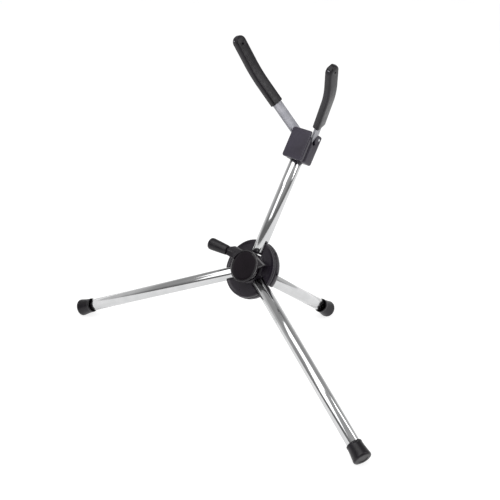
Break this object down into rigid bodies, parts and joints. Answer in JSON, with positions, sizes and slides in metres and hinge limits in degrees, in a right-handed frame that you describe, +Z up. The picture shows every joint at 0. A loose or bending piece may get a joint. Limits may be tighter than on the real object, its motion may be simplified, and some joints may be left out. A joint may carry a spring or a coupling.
{
  "type": "saxophone stand",
  "caption": "Folding tripod stand for a saxophone: a petal hub with a clamp knob joins a post with a two-armed padded yoke, two hinged front legs and a fixed rear leg.",
  "frame": {"origin": "on the floor, under the middle of the stand's bounding box", "axes": "+Z up; X across the stand, from the left foot to the right foot; -Y towards the player, the side the instrument leans from"},
  "size_m": [0.5064, 0.252, 0.3971],
  "materials": {
    "chrome_tube": "bright chrome plate",
    "zinc_steel": "zinc plated",
    "yoke_steel": "satin nickel plate",
    "black_plastic": "satin moulded",
    "block_plastic": "satin moulded",
    "gloss_black": "gloss moulded",
    "black_rubber": "soft moulded rubber",
    "brass": "machined"
  },
  "bodies": {
    "hub": {"hub_front_shell": "black_plastic", "hub_rear_shell": "black_plastic", "centre_bolt": "zinc_steel", "hub_screw_right": "zinc_steel", "hub_screw_left": "zinc_steel", "hub_screw_lower": "zinc_steel", "post_hinge_pin": "zinc_steel", "left_leg_hinge_pin": "zinc_steel", "right_leg_hinge_pin": "zinc_steel", "rear_leg_tube": "chrome_tube", "rear_leg_plug": "black_plastic", "rear_leg_screw": "zinc_steel", "rear_foot_cap": "black_rubber", "clamp_plate": "black_plastic", "knob_washer": "zinc_steel"},
    "knob": {"knob_body": "gloss_black", "knob_cap": "gloss_black", "knob_nut": "brass", "lever_grip": "black_rubber"},
    "post": {"post_knuckle": "black_plastic", "post_tube": "chrome_tube", "post_plug": "black_plastic", "yoke_block": "block_plastic", "yoke_block_cheek": "block_plastic", "yoke_block_screw": "zinc_steel", "cheek_screw_left": "zinc_steel", "cheek_screw_right": "zinc_steel", "yoke_pin": "zinc_steel"},
    "yoke": {"yoke_strip": "yoke_steel", "yoke_spacer": "zinc_steel", "left_sleeve": "black_rubber", "right_sleeve": "black_rubber"},
    "left_leg": {"left_leg_knuckle": "black_plastic", "left_leg_tube": "chrome_tube", "left_foot_cap": "black_rubber"},
    "right_leg": {"right_leg_knuckle": "black_plastic", "right_leg_tube": "chrome_tube", "right_foot_cap": "black_rubber"}
  },
  "joints": [
    {"name": "post_fold", "type": "hinge", "parent": "hub", "child": "post", "pos_m": [0, -0.0154, 0.1486], "axis": [-1, 0, 0], "range_deg": [0, 90]},
    {"name": "left_leg_fold", "type": "hinge", "parent": "hub", "child": "left_leg", "pos_m": [-0.02511, -0.03991, 0.11266], "axis": [0.5, -0.488, -0.7154], "range_deg": [0, 90]},
    {"name": "right_leg_fold", "type": "hinge", "parent": "hub", "child": "right_leg", "pos_m": [0.02511, -0.03991, 0.11266], "axis": [0.5, 0.488, 0.7154], "range_deg": [0, 90]},
    {"name": "knob_turn", "type": "hinge", "parent": "hub", "child": "knob", "pos_m": [0, -0.04793, 0.13568], "axis": [0, -0.8261, 0.5635], "range_deg": [-15, 345]},
    {"name": "yoke_fold", "type": "hinge", "parent": "post", "child": "yoke", "pos_m": [0, 0.07201, 0.27176], "axis": [-1, 0, 0], "range_deg": [0, 55]}
  ]
}
